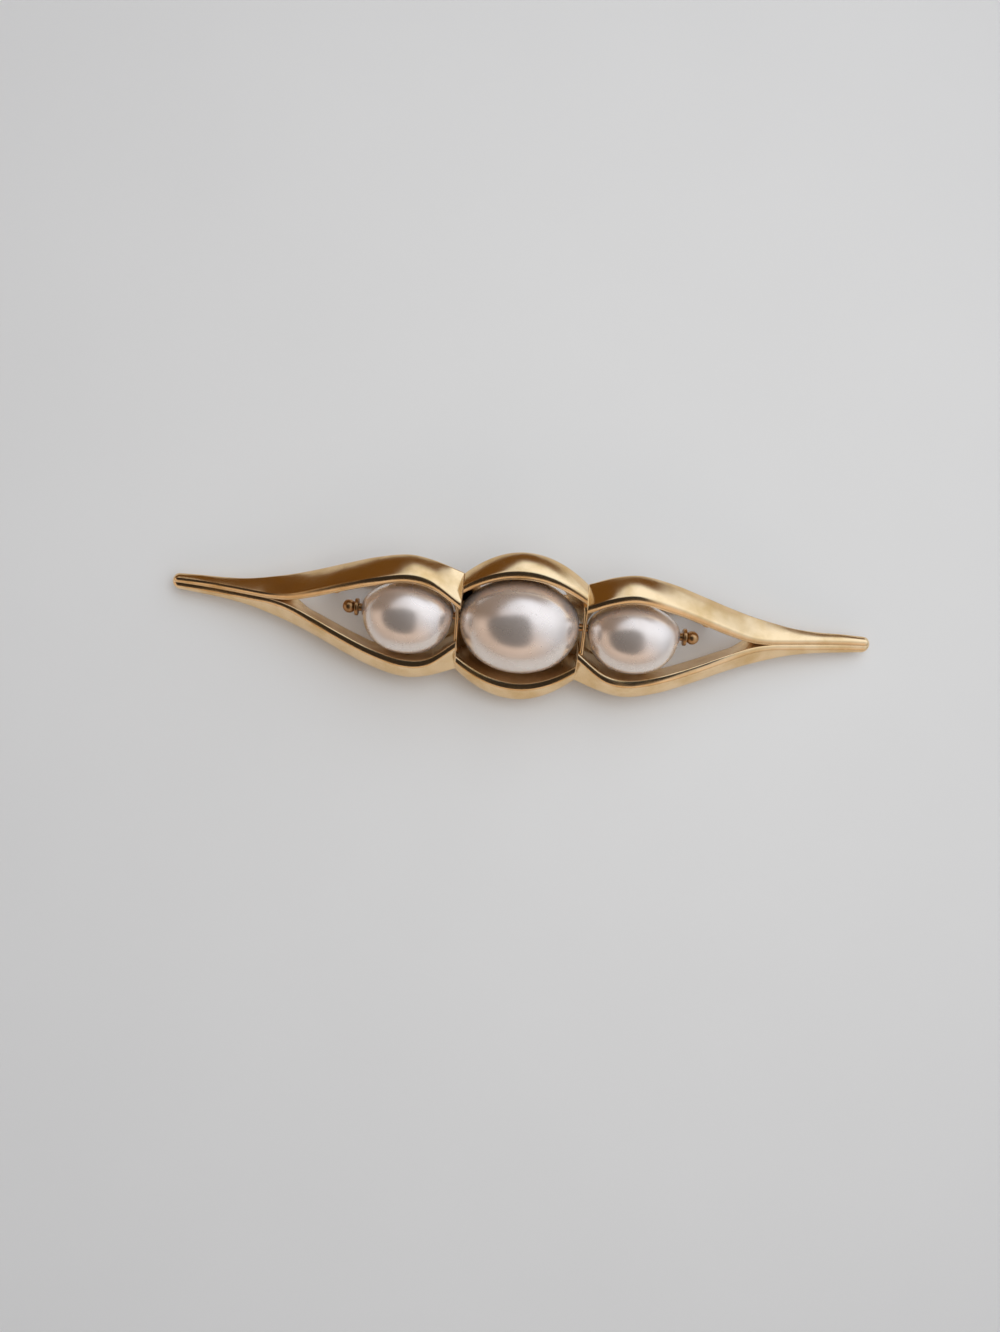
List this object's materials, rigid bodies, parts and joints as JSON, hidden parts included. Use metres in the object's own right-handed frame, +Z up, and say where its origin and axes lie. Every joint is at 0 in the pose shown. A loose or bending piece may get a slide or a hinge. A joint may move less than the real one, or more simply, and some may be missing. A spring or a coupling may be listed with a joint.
{
  "type": "bar brooch",
  "caption": "Slim gold-tone bar brooch shaped like an open pod, with oval pearls strung on a wire between two scalloped rails and a pin behind.",
  "frame": {"origin": "centre of the bounding box at the surface that the brooch lies on", "axes": "+X along the bar towards the catch, +Y away from the lower rail that it rests on, +Z up from the surface; the brooch's front is turned 25 degrees from +Z towards -Y"},
  "size_m": [0.057, 0.0116, 0.0074],
  "materials": {
    "gold_plate": "polished gold-tone plating on cast metal",
    "gold_findings": "plain gold-tone wire, a little darker than the casting",
    "pearl": "cream pearl lustre with a soft highlight"
  },
  "bodies": {
    "root": {"pod_frame": "gold_plate", "pearl_middle": "pearl", "pearl_left": "pearl", "pearl_right": "pearl", "pearl_wire": "gold_findings", "pin_back": "gold_findings"}
  },
  "joints": []
}
